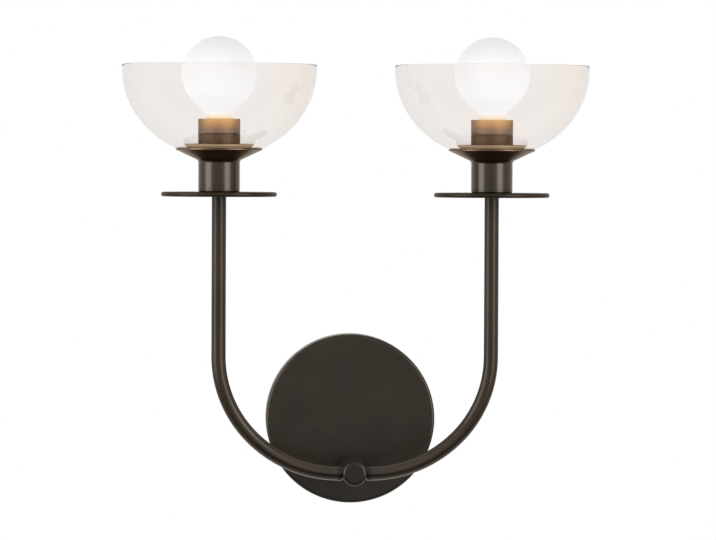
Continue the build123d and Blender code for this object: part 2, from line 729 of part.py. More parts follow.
for side in SIDES:
    plane = stalk_plane(side)
    with BuildPart() as glass_bowl:
        with BuildSketch(plane):
            with BuildLine():
                outside = bowl_arc(BOWL_RADIUS, BOWL_DEPTH, BOWL_HOLE_RADIUS)
                inside = bowl_arc(inner_bowl_radius, inner_bowl_depth, seat_edge_radius)
                lip = ThreePointArc(
                    (BOWL_RADIUS, lip_z),
                    (BOWL_RADIUS - lip_round, bowl_rim_z),
                    (inner_bowl_radius, lip_z),
                )
                Line(outside @ 1, lip @ 0)
                Line(lip @ 1, inside @ 1)
                Polyline(inside @ 0, (BOWL_HOLE_RADIUS, gasket_z), outside @ 0)
            make_face()
        revolve(axis=stalk_axis(side))
    save(glass_bowl, f"glass_bowl_{side}")

    with BuildPart() as ring_gasket:
        with BuildSketch(level(side, gasket_z)):
            Circle(gasket_outer_radius)
            Circle(gasket_inner_radius, mode=Mode.SUBTRACT)
        extrude(amount=GASKET_THICKNESS)
    save(ring_gasket, f"ring_gasket_{side}")

    with BuildPart() as bowl_pad:
        with BuildSketch(plane):
            with BuildLine():
                Polyline(
                    (pad_inner_radius, flare_inside(pad_inner_radius)),
                    (pad_outer_radius, flare_inside(pad_outer_radius)),
                    (pad_outer_radius, pad_top(pad_outer_radius)),
                    (pad_inner_radius, pad_top(pad_inner_radius)),
                    close=True,
                )
            make_face()
        revolve(axis=stalk_axis(side))
    save(bowl_pad, f"bowl_pad_{side}")

# ---------------------------------------------------------------- lamps

insulator_z = lamp_z + CONTACT_BUTTON_HEIGHT / 2
base_foot_z = insulator_z + INSULATOR_HEIGHT
thread_z = base_foot_z + BASE_TAPER
thread_end_z = thread_z + THREAD_TURNS * THREAD_PITCH
skirt_z = thread_end_z + THROAT_HEIGHT
base_rim_z = skirt_z + SKIRT_HEIGHT
neck_foot_z = base_rim_z - NECK_SEAT
neck_top_z = base_rim_z + NECK_LENGTH
thread_root = THREAD_RADIUS - THREAD_DEPTH
skirt_radius = THREAD_RADIUS - SKIRT_INSET
base_inner_radius = thread_root - BASE_WALL
neck_radius = base_inner_radius - FIT
base_foot_radius = thread_root - BASE_FOOT_INSET
plug_radius = base_foot_radius - BASE_FOOT_WALL
taper_cos = cos(radians(GLOBE_TAPER))
taper_sin = sin(radians(GLOBE_TAPER))
taper_end_radius = neck_radius + NECK_ROUND * (1 - taper_cos)
taper_height = (GLOBE_RADIUS * taper_cos - taper_end_radius) * taper_cos / taper_sin
globe_z = neck_top_z + NECK_ROUND * taper_sin + taper_height + GLOBE_RADIUS * taper_sin


def globe_outline(inset):
    """Points of the globe's outline, or of the surface at one depth inside it.

    The globe runs from its top down to where its taper starts, then come the taper, a
    rounded turn and the neck.
    """
    radius = GLOBE_RADIUS - inset
    neck = neck_radius - inset
    turn = NECK_ROUND + inset
    top = (0, globe_z + radius)
    side_point = (radius, globe_z)
    taper_start = (radius * taper_cos, globe_z - radius * taper_sin)
    taper_end_x = neck + turn * (1 - taper_cos)
    taper_end_z = taper_start[1] - (taper_start[0] - taper_end_x) * taper_cos / taper_sin
    turn_middle = (
        neck + turn * (1 - cos(radians(GLOBE_TAPER / 2))),
        taper_end_z - turn * (taper_sin - sin(radians(GLOBE_TAPER / 2))),
    )
    turn_end = (neck, taper_end_z - turn * taper_sin)
    return top, side_point, taper_start, (taper_end_x, taper_end_z), turn_middle, turn_end


for side in SIDES:
    plane = stalk_plane(side)
    with BuildPart() as lamp_globe:
        for inset, mode in ((0, Mode.ADD), (GLOBE_WALL, Mode.SUBTRACT)):
            top, side_point, taper_start, taper_end, turn_middle, turn_end = globe_outline(inset)
            with BuildSketch(plane):
                with BuildLine():
                    ThreePointArc(top, side_point, taper_start)
                    Line(taper_start, taper_end)
                    ThreePointArc(taper_end, turn_middle, turn_end)
                    Line(turn_end, (turn_end[0], neck_foot_z))
                    Line((turn_end[0], neck_foot_z), (0, neck_foot_z))
                    Line((0, neck_foot_z), top)
                make_face()
            revolve(axis=stalk_axis(side), mode=mode)
    save(lamp_globe, f"lamp_globe_{side}")

    with BuildPart() as lamp_base:
        with BuildSketch(plane):
            with BuildLine():
                Line((plug_radius, base_foot_z), (base_foot_radius, base_foot_z))
                Line((base_foot_radius, base_foot_z), (thread_root, thread_z))
                for turn in range(THREAD_TURNS):
                    root_z = thread_z + turn * THREAD_PITCH
                    ThreePointArc(
                        (thread_root, root_z),
                        (THREAD_RADIUS, root_z + THREAD_PITCH / 2),
                        (thread_root, root_z + THREAD_PITCH),
                    )
                Polyline(
                    (thread_root, thread_end_z),
                    (skirt_radius, skirt_z),
                    (skirt_radius, base_rim_z - SKIRT_ROUND),
                    (skirt_radius - SKIRT_ROUND, base_rim_z),
                    (base_inner_radius, base_rim_z),
                    (base_inner_radius, thread_z),
                    (plug_radius, thread_z),
                    (plug_radius, base_foot_z),
                )
            make_face()
        revolve(axis=stalk_axis(side))
    save(lamp_base, f"lamp_base_{side}")

    with BuildPart() as lamp_insulator:
        with BuildSketch(plane):
            with BuildLine():
                Polyline(
                    (0, insulator_z),
                    (CONTACT_BUTTON_RADIUS, insulator_z),
                    (base_foot_radius, base_foot_z),
                    (plug_radius - FIT, base_foot_z),
                    (plug_radius - FIT, thread_z),
                    (0, thread_z),
                    close=True,
                )
            make_face()
        revolve(axis=stalk_axis(side))
    save(lamp_insulator, f"lamp_insulator_{side}")

    with BuildPart() as lamp_contact:
        with BuildSketch(level(side, lamp_z)):
            Circle(CONTACT_BUTTON_RADIUS)
        extrude(amount=CONTACT_BUTTON_HEIGHT / 2)
        fillet(lamp_contact.edges().group_by(Axis.Z)[0], radius=CONTACT_BUTTON_HEIGHT / 4)
    save(lamp_contact, f"lamp_contact_{side}")

    # Inside the globe a glass stem stands in the neck and carries the filaments.
    stem_top_z = neck_foot_z + STEM_HEIGHT
    stem_foot_radius = neck_radius - GLOBE_WALL - STEM_FOOT_CLEARANCE
    with BuildPart() as lamp_stem:
        with BuildSketch(plane):
            with BuildLine():
                Polyline(
                    (0, neck_foot_z),
                    (stem_foot_radius, neck_foot_z),
                    (stem_foot_radius, neck_foot_z + GLOBE_WALL),
                    (STEM_RADIUS, neck_foot_z + STEM_FOOT_HEIGHT),
                    (STEM_RADIUS, stem_top_z - STEM_RADIUS),
                )
                dome_foot = (STEM_RADIUS, stem_top_z - STEM_RADIUS)
                TangentArc(dome_foot, (0, stem_top_z), tangent=(0, 1))
                Line((0, stem_top_z), (0, neck_foot_z))
            make_face()
        revolve(axis=stalk_axis(side))
    save(lamp_stem, f"lamp_stem_{side}")

    filament_top_radius = STEM_RADIUS + FILAMENT_RADIUS + FIT
    filament_top_z = stem_top_z - STEM_RADIUS
    filament_foot_radius = stem_foot_radius - FILAMENT_INSET
    filament_foot_z = neck_foot_z + STEM_FOOT_HEIGHT + FILAMENT_LIFT
    filament_run = Vector(
        filament_foot_radius - filament_top_radius, 0, filament_foot_z - filament_top_z
    )
    with BuildPart() as lamp_filaments:
        for number in range(FILAMENT_COUNT):
            spin = number * FULL_TURN / FILAMENT_COUNT
            outward = Vector(filament_top_radius, 0, 0).rotate(Axis.Z, spin)
            filament_top = level(side, filament_top_z).origin + outward
            with BuildSketch(Plane(filament_top, z_dir=filament_run.rotate(Axis.Z, spin))):
                Circle(FILAMENT_RADIUS)
            extrude(amount=filament_run.length)
    save(lamp_filaments, f"lamp_filaments_{side}")

# ---------------------------------------------------------------- leads and splices

splice_front_y = hub_nipple_end_y + LEAD_TURN
splice_back_y = splice_front_y + 2 * LEAD_RADIUS + LEAD_CROSS_GAP
splice_mouth_z = BAR_WIDTH / 2 + SPLICE_ABOVE_BAR
lead_top_z = splice_mouth_z + SPLICE_DEPTH
splice_bore = lead_offset + LEAD_RADIUS + HOLE_CLEARANCE
slant_cos = cos(radians(LEAD_SLANT))
slant_sin = sin(radians(LEAD_SLANT))
slant_run = (SPLICE_OFFSET - 2 * LEAD_SLANT_RADIUS * (1 - slant_cos)) / slant_sin

# Each pole's leads lie on the inside or the outside of the arms' bends, and end in a
# splice to the left or the right inside the plate.
POLES = {
    "hot": (lead_offset, -1, splice_front_y),
    "neutral": (-lead_offset, 1, splice_back_y),
}


def bend(start, heading, toward, radius, angle):
    """Add an arc that turns from one direction toward another. Returns its end and its
    new heading."""
    half = radians(angle / 2)
    full = radians(angle)
    middle = start + heading * radius * sin(half) + toward * radius * (1 - cos(half))
    end = start + heading * radius * sin(full) + toward * radius * (1 - cos(full))
    ThreePointArc(start, middle, end)
    return end, heading * cos(full) + toward * sin(full)


for side, sign in SIDES.items():
    for pole, (offset, splice_sign, splice_y) in POLES.items():
        lower_arc, upper_arc = arm_route(side, offset)
        inner_x = sign * lead_offset
        lead_z = lower_arc[0][2]
        stalk_x = upper_arc[-1][0]
        up = Vector(0, 0, 1)
        wallward = Vector(0, 1, 0)
        inward = Vector(-sign, 0, 0)
        aside = Vector(splice_sign, 0, 0)
        with BuildPart() as lead:
            with BuildLine() as route:
                socket_end = (stalk_x, arm_y, socket_foot_z + LEAD_HOLE_DEPTH)
                Line(socket_end, upper_arc[-1])
                ThreePointArc(*upper_arc)
                ThreePointArc(*lower_arc)
                turn_start = Vector(inner_x + sign * LEAD_TURN, arm_y, lead_z)
                Line(lower_arc[0], turn_start)
                turn_end, heading = bend(turn_start, inward, wallward, LEAD_TURN, QUARTER_TURN)
                rise_start = Vector(inner_x, splice_y - LEAD_TURN, lead_z)
                Line(turn_end, rise_start)
                rise_end, heading = bend(rise_start, wallward, up, LEAD_TURN, QUARTER_TURN)
                slant_start, heading = bend(rise_end, heading, aside, LEAD_SLANT_RADIUS, LEAD_SLANT)
                slant_end = slant_start + heading * slant_run
                Line(slant_start, slant_end)
                across = aside * -cos(radians(LEAD_SLANT)) + up * sin(radians(LEAD_SLANT))
                last_start, heading = bend(slant_end, heading, across, LEAD_SLANT_RADIUS, LEAD_SLANT)
                Line(last_start, Vector(last_start.X, last_start.Y, lead_top_z))
            with BuildSketch(Plane(origin=socket_end, z_dir=(0, 0, -1))):
                Circle(LEAD_RADIUS)
            sweep(path=route.wire())
        save(lead, f"lead_{pole}_{side}")

for pole, (offset, splice_sign, splice_y) in POLES.items():
    splice_plane = Plane(
        origin=(splice_sign * SPLICE_OFFSET, splice_y, 0), x_dir=(1, 0, 0), z_dir=(0, -1, 0)
    )
    splice_top_z = splice_mouth_z + SPLICE_LENGTH
    with BuildPart() as splice_cap:
        with BuildSketch(splice_plane):
            with BuildLine():
                Polyline(
                    (splice_bore, splice_mouth_z),
                    (SPLICE_RADIUS, splice_mouth_z),
                    (SPLICE_TIP_RADIUS, splice_top_z),
                    (0, splice_top_z),
                    (0, splice_top_z - SPLICE_WALL),
                    (splice_bore, splice_top_z - SPLICE_WALL),
                    close=True,
                )
            make_face()
        revolve(axis=Axis((splice_sign * SPLICE_OFFSET, splice_y, 0), (0, 0, 1)))
    save(splice_cap, f"splice_cap_{pole}")
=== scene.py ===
# %% [markdown]
# # Double arm wall sconce
# A dark bronze sconce: a round plate on the wall, a small hub in front of it, two bent tubes,
# and on each tube a disc, a flared cup, a socket and an open glass bowl round a frosted lamp.
# The solids come from the CAD frame and stay where they are. This notebook gives them their
# finishes, makes the two glass bowls again as thin smooth shells, and sets the camera, the
# lamps and the floor.

import json
import math

import bpy
from mathutils import Matrix, Vector


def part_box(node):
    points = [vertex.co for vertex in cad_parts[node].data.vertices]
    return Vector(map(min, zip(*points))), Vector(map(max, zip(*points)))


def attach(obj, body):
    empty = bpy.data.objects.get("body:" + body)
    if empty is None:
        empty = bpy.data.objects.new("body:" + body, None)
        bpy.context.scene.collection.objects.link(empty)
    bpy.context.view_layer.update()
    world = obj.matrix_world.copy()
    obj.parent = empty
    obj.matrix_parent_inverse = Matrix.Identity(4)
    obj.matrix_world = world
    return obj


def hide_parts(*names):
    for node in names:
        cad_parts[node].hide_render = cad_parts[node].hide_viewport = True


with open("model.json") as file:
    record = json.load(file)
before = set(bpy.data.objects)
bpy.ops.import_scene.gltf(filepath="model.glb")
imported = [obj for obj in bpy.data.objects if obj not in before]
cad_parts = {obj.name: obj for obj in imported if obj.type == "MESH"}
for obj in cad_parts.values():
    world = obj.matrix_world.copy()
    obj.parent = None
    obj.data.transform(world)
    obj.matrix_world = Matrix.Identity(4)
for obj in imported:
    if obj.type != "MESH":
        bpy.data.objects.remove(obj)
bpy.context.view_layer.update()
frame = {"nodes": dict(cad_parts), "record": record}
nodes = frame["nodes"]

# %% [markdown]
# ## The camera
# The photograph was taken from far away with a long lens: both bowls show the same outline, and
# the discs show as thin lines, so the eye stands at about the height of the sockets. The picture
# leans a little clockwise, which is a small roll. A place, an aim and a roll were fitted to the
# centres of the plate, the hub, the discs and the bowls.

# %% Camera
PICTURE_WIDTH = 716
PICTURE_FOCUS = 4260.8  # focal length in pixels of that picture
SENSOR_WIDTH = 36
NEAREST_SEEN = 0.01
CAMERA_PLACE = Vector((-0.1463, -3.505, 0.2098))
CAMERA_AIM = Vector((0.0022, -0.105, 0.1237))
CAMERA_ROLL = math.radians(0.245)


def aimed(place, aim, roll=0.0):
    """The matrix of something at place that looks at aim, turned by roll about its own sight."""
    sight = (aim - place).normalized()
    turn = sight.to_track_quat("-Z", "Y").to_matrix().to_4x4()
    return Matrix.Translation(place) @ turn @ Matrix.Rotation(roll, 4, "Z")


lens = bpy.data.cameras.new("camera")
lens.sensor_width = SENSOR_WIDTH
lens.lens = PICTURE_FOCUS / PICTURE_WIDTH * SENSOR_WIDTH
lens.clip_start = NEAREST_SEEN
camera = bpy.data.objects.new("camera", lens)
camera.matrix_world = aimed(CAMERA_PLACE, CAMERA_AIM, CAMERA_ROLL)
bpy.context.scene.collection.objects.link(camera)
bpy.context.scene.camera = camera
bpy.context.scene.view_settings.view_transform = "Standard"
print("lens", round(lens.lens, 1), "mm")

# %% [markdown]
# ## Sums inside a material
# A material is a net of nodes. Writing the net as Python sums keeps it readable, so one class
# wraps a socket: adding, multiplying or dividing it makes the Math node, and every other node
# comes from one method that takes its type, its settings and what goes into its sockets.


# %% Sockets as values
class Link:
    """One output socket of a material, with Python's sums."""

    def __init__(self, tree, socket=None):
        self.tree = tree
        self.socket = socket

    def feed(self, socket, value):
        """Puts a number, a colour or another link into a socket."""
        if isinstance(value, Link):
            self.tree.links.new(value.socket, socket)
        elif socket.type == "RGBA":
            socket.default_value = (*value, 1)
        else:
            socket.default_value = value

    def node(self, kind, settings=None, sockets=None, out=0):
        """Adds a node: its type, then its settings, then its sockets."""
        made = self.tree.nodes.new(kind)
        for name, value in (settings or {}).items():
            if name == "stops":
                set_stops(made.color_ramp.elements, value)
            else:
                setattr(made, name, value)
        for name, value in (sockets or {}).items():
            self.feed(made.inputs[name], value)
        return Link(self.tree, made.outputs[out])

    def sum(self, operation, *values):
        return self.node("ShaderNodeMath", {"operation": operation}, dict(enumerate(values)))

    def __add__(self, other):
        return self.sum("ADD", self, other)

    def __sub__(self, other):
        return self.sum("SUBTRACT", self, other)

    def __rsub__(self, other):
        return self.sum("SUBTRACT", other, self)

    def __mul__(self, other):
        return self.sum("MULTIPLY", self, other)

    def __truediv__(self, other):
        return self.sum("DIVIDE", self, other)

    def __pow__(self, other):
        return self.sum("POWER", self, other)

    __radd__ = __add__
    __rmul__ = __mul__

    def rise(self, low, high):
        """0 below low, 1 above high, and a smooth step between them."""
        return self.node(
            "ShaderNodeMapRange",
            {"interpolation_type": "SMOOTHSTEP"},
            {"Value": self, "From Min": low, "From Max": high},
        )

    def between(self, low, high):
        """A colour: low where the value is 0, high where it is 1."""
        return self.node("ShaderNodeMix", {"data_type": "RGBA"}, {0: self, 6: low, 7: high}, 2)


def set_stops(elements, stops):
    """Places the stops of a colour ramp, which has two from the start."""
    for number, (place, colour) in enumerate(stops):
        stop = elements[number] if number < 2 else elements.new(place)
        stop.position = place
        stop.color = (*colour, 1)


print("sums ready")

# %% [markdown]
# A few more helpers are needed everywhere: one starts a material, one fills the sockets of its
# shader, one makes a shader the material's surface, and two tell the parts of a vector and what
# kind of ray looks at the surface.


# %% Starting a material
def finish(name):
    """A material with a Principled shader: itself, the link to start sums from, the shader."""
    material = bpy.data.materials.new(name)
    material.use_nodes = True
    tree = material.node_tree
    return material, Link(tree), tree.nodes["Principled BSDF"]


def fill(start, shader, **sockets):
    """Fills the shader's sockets; the names' underscores stand for spaces."""
    for name, value in sockets.items():
        start.feed(shader.inputs[name.replace("_", " ")], value)


def show(start, surface):
    """Makes a shader link the surface of the material."""
    start.feed(start.tree.nodes["Material Output"].inputs["Surface"], surface)


def axes(start, vector):
    """The x, y and z of a vector, as three links."""
    apart = start.node("ShaderNodeSeparateXYZ", sockets={0: vector})
    return [Link(start.tree, apart.socket.node.outputs[axis]) for axis in "XYZ"]


def ray_is(start, kind):
    """1 for rays of that kind and 0 for all others."""
    return start.node("ShaderNodeLightPath", out=f"Is {kind} Ray")


print("helpers ready")

# %% [markdown]
# ## A white studio
# The photograph stands on pure white. The background is white only for what the camera sees, for
# what metal reflects and for what glass lets through; the light that the sky throws on matt
# surfaces is much lower, so that pale pieces keep their own colour. The metal's lower edges are
# nearly black in the photograph, so what lies low in front of the object was dark. Only a
# mirrored ray sees it so: a ray through glass counts as glossy too, and is left out.

# %% World
SKY_LIGHT = 0.2
FRONT_DARK = 0.92
BACKDROP = (1.0, 1.0, 1.0)
DOWN_DARK = (0.0, 0.3)  # how far down a ray points where the dark begins, and where it is full
FORWARD_DARK = (-0.1, 0.3)  # the same for how far forward it points
world = bpy.data.worlds.new("studio")
world.use_nodes = True
bpy.context.scene.world = world
sky = Link(world.node_tree)
_, back, up = axes(sky, sky.node("ShaderNodeTexCoord", out="Generated"))
glossy_ray = ray_is(sky, "Glossy")
clear_ray = ray_is(sky, "Transmission")
white_share = sky.sum("MAXIMUM", sky.sum("MAXIMUM", ray_is(sky, "Camera"), glossy_ray), clear_ray)
mirrored = glossy_ray * (1 - clear_ray)
dark_share = mirrored * (0 - up).rise(*DOWN_DARK) * (0 - back).rise(*FORWARD_DARK)
background = world.node_tree.nodes["Background"]
sky.feed(background.inputs["Color"], BACKDROP)
strength = SKY_LIGHT + white_share * (1 - SKY_LIGHT) - dark_share * FRONT_DARK
sky.feed(background.inputs["Strength"], strength)
print("sky light on matt surfaces", SKY_LIGHT)

# %% [markdown]
# ## The floor
# A wall piece needs no floor of its own, but a pale floor below it catches a soft shadow and
# lights the undersides. It lies outside the photograph's frame, and its own grain is very faint.

# %% Floor
FLOOR_LEVEL = -0.35
FLOOR_HALF = 1.6
FLOOR_SIGNS = [(-1, -1), (1, -1), (1, 1), (-1, 1)]
corners = [(x * FLOOR_HALF, y * FLOOR_HALF, FLOOR_LEVEL) for x, y in FLOOR_SIGNS]
floor_mesh = bpy.data.meshes.new("floor")
floor_mesh.from_pydata(corners, [], [(0, 1, 2, 3)])
floor = bpy.data.objects.new("floor", floor_mesh)
bpy.context.scene.collection.objects.link(floor)
print("floor at", FLOOR_LEVEL)

# %% [markdown]
# Metal and glass see the floor as white, like the rest of the studio, but for its dark front. A
# Mix Shader does that: it shows a plain light to mirrored rays and to rays through glass, and
# the paint to all others.

# %% Floor paint
FLOOR_GREY = (0.86, 0.86, 0.85)
FLOOR_PALE = (0.9, 0.9, 0.89)
FLOOR_DARK = (0.1, 0.4)  # metres in front of the wall where its dark begins, and where it is full
floor_paint, start, shader = finish("floor_paint")
grain = start.node("ShaderNodeTexNoise", sockets={"Scale": 3.0, "Detail": 3.0})
fill(start, shader, Base_Color=grain.between(FLOOR_GREY, FLOOR_PALE), Roughness=0.8)
fill(start, shader, Specular_IOR_Level=0.2)
glossy_ray = ray_is(start, "Glossy")
clear_ray = ray_is(start, "Transmission")
_, back, _ = axes(start, start.node("ShaderNodeTexCoord", out="Object"))
bright = 1 - glossy_ray * (1 - clear_ray) * (0 - back).rise(*FLOOR_DARK) * FRONT_DARK
white = start.node("ShaderNodeEmission", None, {"Color": BACKDROP, "Strength": bright})
paint = Link(start.tree, shader.outputs[0])
either_ray = start.sum("MAXIMUM", glossy_ray, clear_ray)
show(start, start.node("ShaderNodeMixShader", None, {0: either_ray, 1: paint, 2: white}))
floor_mesh.materials.append(floor_paint)
print("floor painted")

# %% [markdown]
# ## The lamps of the studio
# The cups and the tubes carry two soft upright highlights, one from each side, with a darker
# stripe between them. That is a tall softbox on each side of the camera: a highlight a third of
# the way out on a round piece is a lamp about forty degrees off the line of sight.

# %% Softboxes
STUDIO_CENTRE = Vector((0, -0.105, 0.12))
SOFTBOX_DISTANCE = 2.2
SOFTBOX_RISE = 0.35  # of its middle above the studio's centre
SOFTBOX_TALL = 1.8


def softbox(name, bearing, width, power):
    """A tall soft lamp, at a bearing in degrees from the line of sight (left is negative)."""
    light = bpy.data.lights.new(name, "AREA")
    light.shape = "RECTANGLE"
    light.size = width
    light.size_y = SOFTBOX_TALL
    light.energy = power
    turn = math.radians(bearing)
    place = STUDIO_CENTRE + Vector((math.sin(turn), -math.cos(turn), 0)) * SOFTBOX_DISTANCE
    place.z += SOFTBOX_RISE
    lamp = bpy.data.objects.new(name, light)
    lamp.matrix_world = aimed(place, STUDIO_CENTRE)
    bpy.context.scene.collection.objects.link(lamp)
    print(name, "at", [round(v, 2) for v in place], "power", power)
    return lamp


softboxes = [
    softbox("softbox_left", bearing=-64, width=1.3, power=38),
    softbox("softbox_right", bearing=44, width=1.2, power=36),
]

# %% [markdown]
# ## Dark bronze
# The metal is brass and steel under a satin dark bronze coat. It is nearly black, brown where the
# coat is thin and faintly green where it is thick, in cloudy patches some centimetres wide, with
# a fine orange-peel grain. A dark base colour that is mostly metallic gives the soft tinted
# highlights; two scales of noise move its colour and roughness, and a clear coat is the lacquer.
# Every kind of piece starts from the same coat and adds the marks of how it was made.

# %% The bronze coat
COAT_METALLIC = 0.9
COAT_TINT = (0.85, 0.72, 0.6)
LACQUER_ROUGHNESS = 0.2
PATCH_SCALE = 30.0  # waves in a metre
GRAIN_SCALE = 900.0
GRAIN_DEPTH = 0.00004
LATHE_PITCH = 0.0009  # between two rings left by the lathe
finishes = {}


def place_of(start):
    """The point on the surface in metres, and its x, y and z."""
    point = start.node("ShaderNodeTexCoord", out="Object")
    return point, axes(start, point)


def noise(start, point, scale, detail=2.0):
    """Soft noise over the surface, about 0.5 on average."""
    return start.node("ShaderNodeTexNoise", sockets={"Vector": point, "Scale": scale, "Detail": detail})


def bump(start, height, strength, distance):
    """A normal that follows height."""
    sockets = {"Strength": strength, "Distance": distance, "Height": height}
    return start.node("ShaderNodeBump", None, sockets)


class Bronze:
    """The coat on one kind of piece. Its colour, rough, lacquer and height may be changed."""

    def __init__(self, name, dark, brown, roughness, lacquer):
        self.material, self.start, self.shader = finish(name)
        point, (self.x, self.y, self.z) = place_of(self.start)
        cloud = noise(self.start, point, PATCH_SCALE, 4.0)
        self.grain = noise(self.start, point, GRAIN_SCALE)
        self.patch = cloud.rise(0.36, 0.66)
        self.dark = dark
        self.brown = brown
        self.colour = (self.patch * 0.85 + self.grain * 0.3 - 0.1).between(dark, brown)
        self.rough = cloud * 0.08 + self.grain * 0.05 + (roughness - 0.07)
        self.lacquer = lacquer
        self.height = self.grain

    def rings(self, along):
        """The lathe's rings, one for each pitch that along grows."""
        return self.start.sum("SINE", along * (2 * math.pi / LATHE_PITCH))

    def finished(self, lacquer_ior=1.45):
        normal = bump(self.start, self.height, 0.12, GRAIN_DEPTH)
        fill(self.start, self.shader, Base_Color=self.colour, Metallic=COAT_METALLIC)
        fill(self.start, self.shader, Roughness=self.rough, Normal=normal, Specular_Tint=COAT_TINT)
        fill(self.start, self.shader, Coat_Weight=self.lacquer, Coat_Roughness=LACQUER_ROUGHNESS)
        fill(self.start, self.shader, Coat_IOR=lacquer_ior)
        print("bronze", self.material.name)
        return self.material


# %% [markdown]
# The plate is a spun pan: rings run round its middle, and it is browner towards the top and darker and
# greener lower down.
# The hub and its ferrules are turned from bar, so their rings follow the bar.

# %% Plate and hub
PLATE_FADE = (-0.1, 0.08)  # heights where the plate's coat is dark, and where it is brown


def plate_bronze():
    coat = Bronze("satin_bronze_plate", (0.022, 0.0205, 0.0155), (0.036, 0.027, 0.019), 0.5, 0.3)
    coat.colour = (coat.patch * 0.5 + coat.z.rise(*PLATE_FADE) * 0.5).between(coat.dark, coat.brown)
    radius = (coat.x * coat.x + coat.z * coat.z) ** 0.5
    coat.height = coat.grain * 0.8 + coat.rings(radius) * 0.25
    return coat.finished()


def turned_bronze():
    # Its coat is darker than the plate's, a painted shade for the standoff between hub and plate.
    coat = Bronze("satin_bronze_turned", (0.016, 0.014, 0.01), (0.024, 0.018, 0.013), 0.45, 0.45)
    coat.height = coat.grain * 0.6 + coat.rings(coat.x) * 0.5
    return coat.finished()


finishes["bronze_plate"] = plate_bronze()
finishes["bronze_turned"] = turned_bronze()

# %% [markdown]
# The arms are drawn tube without rings. Their bends are glossy under a thick lacquer, and the
# straight tubes above are duller, so the lacquer thins out where the bend ends.

# %% Arms
BEND_LACQUER = 0.8
STRAIGHT_LACQUER = 0.35
BEND_END = (-0.03, 0.03)  # heights where the bend's gloss starts to fade, and where it is gone


def tube_bronze():
    coat = Bronze("satin_bronze_tube", (0.026, 0.018, 0.011), (0.034, 0.023, 0.014), 0.5, BEND_LACQUER)
    straight = coat.z.rise(*BEND_END)
    coat.lacquer = BEND_LACQUER - straight * (BEND_LACQUER - STRAIGHT_LACQUER)
    coat.rough = coat.rough + straight * 0.06
    return coat.finished(lacquer_ior=1.4)


finishes["bronze_tube"] = tube_bronze()

# %% [markdown]
# The discs and cups are spun round the lamps' axes. The disc beyond the cup is dull, and the
# flare at the top of the cup is painted a light brown: painted lamplight and reflection on it.
# Both are masks of how far a point is from the nearer lamp's axis and how high it lies.

# %% Discs and cups
cup_low, cup_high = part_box("shade_cup_left")
_, disc_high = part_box("drip_disc_left")
LAMP_AXIS_X = abs(cup_low[0] + cup_high[0]) / 2
LAMP_AXIS_Y = (cup_low[1] + cup_high[1]) / 2
CUP_RADIUS = 0.0166
CUP_EDGE = (CUP_RADIUS + 0.0002, CUP_RADIUS + 0.003)
FLARE_HEIGHT = 0.0093
FLARE_START = (disc_high[2] + 0.01, cup_high[2] - FLARE_HEIGHT)
FLARE_LAMPLIGHT = (0.13, 0.075, 0.042)
SPUN_LACQUER = 0.6
print("lamp axis", round(LAMP_AXIS_X, 4), round(LAMP_AXIS_Y, 4), "flare", FLARE_START)


def from_lamp_axis(start, x, y):
    """How far a point is from the nearer lamp's axis, and how far behind that axis."""
    across = start.sum("ABSOLUTE", x) - LAMP_AXIS_X
    behind = y - LAMP_AXIS_Y
    return (across * across + behind * behind) ** 0.5, behind


def spun_bronze():
    coat = Bronze("satin_bronze_spun", (0.026, 0.018, 0.011), (0.033, 0.022, 0.013), 0.42, SPUN_LACQUER)
    radius, _ = from_lamp_axis(coat.start, coat.x, coat.y)
    coat.height = coat.grain * 0.6 + coat.rings(radius + coat.z * 0.7) * 0.5
    beyond = radius.rise(*CUP_EDGE)
    flare = beyond * coat.z.rise(*FLARE_START)
    # The flare's light brown is painted lamplight and reflection.
    coat.colour = flare.between(coat.colour, FLARE_LAMPLIGHT)
    coat.rough = coat.rough + (beyond - flare) * 0.15
    coat.lacquer = flare * 0.1 - beyond * 0.45 + SPUN_LACQUER
    return coat.finished()


finishes["bronze_spun"] = spun_bronze()

# %% [markdown]
# ## The socket's sleeve
# The sleeve and the ring below it have the same coat, but the lamp shines on them, so they look
# like warm brown bronze: orange at the mouth, tan half way down and brown at the collar. That
# lamplight is painted: one ramp over the height paints it into the base colour, and another paints
# the glow, which fades with the distance from the mouth, as a weak light of the surface itself.
# A thin painted highlight marks the seam between sleeve and collar.

# %% Glow on the sleeve
RING_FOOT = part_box("shade_ring_left")[0][2]
SLEEVE_FOOT, SLEEVE_TOP = (corner[2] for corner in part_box("socket_sleeve_left"))
SEAM = (SLEEVE_FOOT - RING_FOOT) / (SLEEVE_TOP - RING_FOOT)
# Painted lamplight in the base colour, from the ring's foot up to the sleeve's mouth.
SLEEVE_PAINTED_LAMPLIGHT = [
    (0.0, (0.26, 0.18, 0.11)),
    (0.09, (0.13, 0.085, 0.05)),
    (SEAM - 0.01, (0.11, 0.07, 0.045)),
    (SEAM + 0.02, (0.17, 0.105, 0.065)),
    (1.0, (0.17, 0.1, 0.055)),
]
# Painted glow, with a thin painted highlight just above the seam.
SLEEVE_GLOW = [
    (0.0, (0.06, 0.035, 0.018)),
    (0.08, (0.0, 0.0, 0.0)),
    (SEAM, (0.0, 0.0, 0.0)),
    (SEAM + 0.12, (0.02, 0.01, 0.004)),
    (SEAM + 0.14, (0.1, 0.06, 0.035)),
    (SEAM + 0.16, (0.05, 0.025, 0.01)),
    (0.82, (0.36, 0.17, 0.045)),
    (1.0, (0.49, 0.31, 0.12)),
]
print("ring foot", round(RING_FOOT, 4), "sleeve", round(SLEEVE_FOOT, 4), "to", round(SLEEVE_TOP, 4))

# %% [markdown]
# The glow is strongest where the round sleeve faces front or back and weak at its sides. The
# ring's flange reaches out into the lamp's light, so it gets a light of its own, which is
# strongest at its sides. Fine rings from the lathe run round both.

